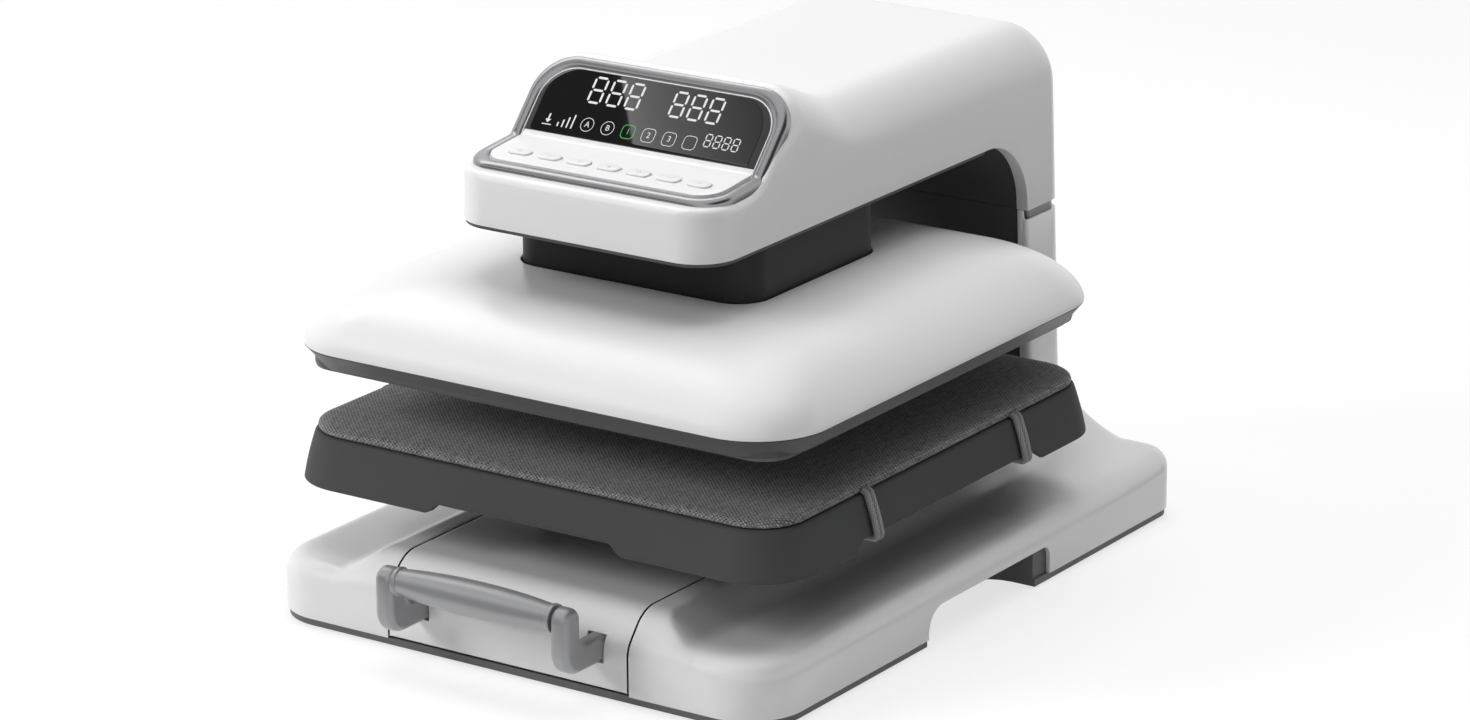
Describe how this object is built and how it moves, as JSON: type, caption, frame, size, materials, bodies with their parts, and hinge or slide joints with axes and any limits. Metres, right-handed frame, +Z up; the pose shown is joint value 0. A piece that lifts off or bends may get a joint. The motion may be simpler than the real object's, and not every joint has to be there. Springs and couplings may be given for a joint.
{
  "type": "heat press",
  "caption": "Countertop heat press: a motor-driven hot platen under an arm head with display and keys, over a padded lower platen that slides out on a drawer.",
  "frame": {"origin": "centre of the part's box, on the floor under the feet", "axes": "+Z up, front with drawer handle and keys towards -Y, +X to the right seen from the front of the machine"},
  "size_m": [0.4168, 0.5666, 0.3722],
  "materials": {
    "white_shell": "satin-gloss moulded white",
    "charcoal_shell": "fine-grained dark grey",
    "graphite_skirt": "heat-resistant dark grey",
    "tray_coat": "satin dark grey powder coat",
    "silver_handle": "satin die-cast",
    "silver_trim": "satin trim",
    "display": "polished dark window",
    "steel": "bright",
    "frame_paint": "black paint",
    "brass": "turned",
    "hot_plate": "non-stick coated",
    "insulation": "fibre board",
    "pad": "silicone foam",
    "woven": "heathered woven cover",
    "elastic": "elastic cord",
    "foot_rubber": "matt black",
    "board": "circuit board",
    "black_plastic": "moulded black",
    "seam_grey": "light grey"
  },
  "bodies": {
    "frame": {"base_shell": "white_shell", "base_pan": "charcoal_shell", "rubber_feet": "foot_rubber", "pan_screws": "steel", "rail_outer_left": "steel", "rail_outer_right": "steel", "column_cover": "white_shell", "column_trim": "seam_grey", "column_panel": "charcoal_shell", "head_shell": "white_shell", "head_belly": "charcoal_shell", "neck_sleeve": "charcoal_shell", "control_bezel": "silver_trim", "display_window": "display", "key_panel": "white_shell", "control_board": "board", "c_frame": "frame_paint", "guide_plate": "steel", "guide_bushes": "brass", "gearbox": "frame_paint", "drive_motor": "steel", "screw_bearing": "steel", "power_board": "board", "mains_inlet": "black_plastic", "switch_housing": "black_plastic"},
    "drawer": {"drawer_cover": "white_shell", "drawer_chassis": "steel", "rail_inner_left": "steel", "rail_inner_right": "steel", "handle_bracket_left": "silver_handle", "handle_bracket_right": "silver_handle", "handle_grip": "silver_handle", "tray_pedestal": "tray_coat", "platen_tray": "tray_coat", "silicone_pad": "pad", "pad_cover": "woven", "pad_straps_left": "elastic", "pad_straps_right": "elastic"},
    "rail_middle_left": {"rail_middle_left": "steel"},
    "rail_middle_right": {"rail_middle_right": "steel"},
    "platen": {"platen_cover": "white_shell", "platen_skirt": "graphite_skirt", "heat_plate": "hot_plate", "heating_element": "steel", "insulation_board": "insulation", "pressure_plate": "steel", "press_ram": "steel", "screw_nut": "brass", "guide_rods": "steel"},
    "screw": {"lead_screw": "steel"},
    "rocker": {"power_rocker": "black_plastic"},
    "key_1": {"key_1": "white_shell"},
    "key_2": {"key_2": "white_shell"},
    "key_3": {"key_3": "white_shell"},
    "key_4": {"key_4": "white_shell"},
    "key_5": {"key_5": "white_shell"},
    "key_6": {"key_6": "white_shell"},
    "key_7": {"key_7": "white_shell"}
  },
  "joints": [
    {"name": "drawer_slide", "type": "slide", "parent": "frame", "child": "drawer", "axis": [0, -1, 0], "range_m": [0, 0.22]},
    {"name": "rail_middle_left_slide", "type": "slide", "parent": "frame", "child": "rail_middle_left", "axis": [0, -1, 0], "range_m": [0, 0.11]},
    {"name": "rail_middle_right_slide", "type": "slide", "parent": "frame", "child": "rail_middle_right", "axis": [0, -1, 0], "range_m": [0, 0.11]},
    {"name": "platen_slide", "type": "slide", "parent": "frame", "child": "platen", "axis": [0, 0, -1], "range_m": [0, 0.0375]},
    {"name": "screw_turn", "type": "hinge", "parent": "frame", "child": "screw", "pos_m": [0, -0.01665, 0.25], "axis": [0, 0, 1], "range_deg": [0, 1351]},
    {"name": "rocker_tilt", "type": "hinge", "parent": "frame", "child": "rocker", "pos_m": [-0.026, 0.27835, 0.112], "axis": [1, 0, 0], "range_deg": [-18, 0]},
    {"name": "key_1_press", "type": "slide", "parent": "frame", "child": "key_1", "axis": [0, 0.0958, -0.9954], "range_m": [0, 0.0008], "stiffness_N_per_m": 700},
    {"name": "key_2_press", "type": "slide", "parent": "frame", "child": "key_2", "axis": [0, 0.0958, -0.9954], "range_m": [0, 0.0008], "stiffness_N_per_m": 700},
    {"name": "key_3_press", "type": "slide", "parent": "frame", "child": "key_3", "axis": [0, 0.0958, -0.9954], "range_m": [0, 0.0008], "stiffness_N_per_m": 700},
    {"name": "key_4_press", "type": "slide", "parent": "frame", "child": "key_4", "axis": [0, 0.0958, -0.9954], "range_m": [0, 0.0008], "stiffness_N_per_m": 700},
    {"name": "key_5_press", "type": "slide", "parent": "frame", "child": "key_5", "axis": [0, 0.0958, -0.9954], "range_m": [0, 0.0008], "stiffness_N_per_m": 700},
    {"name": "key_6_press", "type": "slide", "parent": "frame", "child": "key_6", "axis": [0, 0.0958, -0.9954], "range_m": [0, 0.0008], "stiffness_N_per_m": 700},
    {"name": "key_7_press", "type": "slide", "parent": "frame", "child": "key_7", "axis": [0, 0.0958, -0.9954], "range_m": [0, 0.0008], "stiffness_N_per_m": 700}
  ],
  "couplings": [
    {"joint": "rail_middle_left_slide", "follows": "drawer_slide", "ratio": 0.5},
    {"joint": "rail_middle_right_slide", "follows": "drawer_slide", "ratio": 0.5},
    {"joint": "screw_turn", "follows": "platen_slide", "rad_per_m": 628.32}
  ]
}
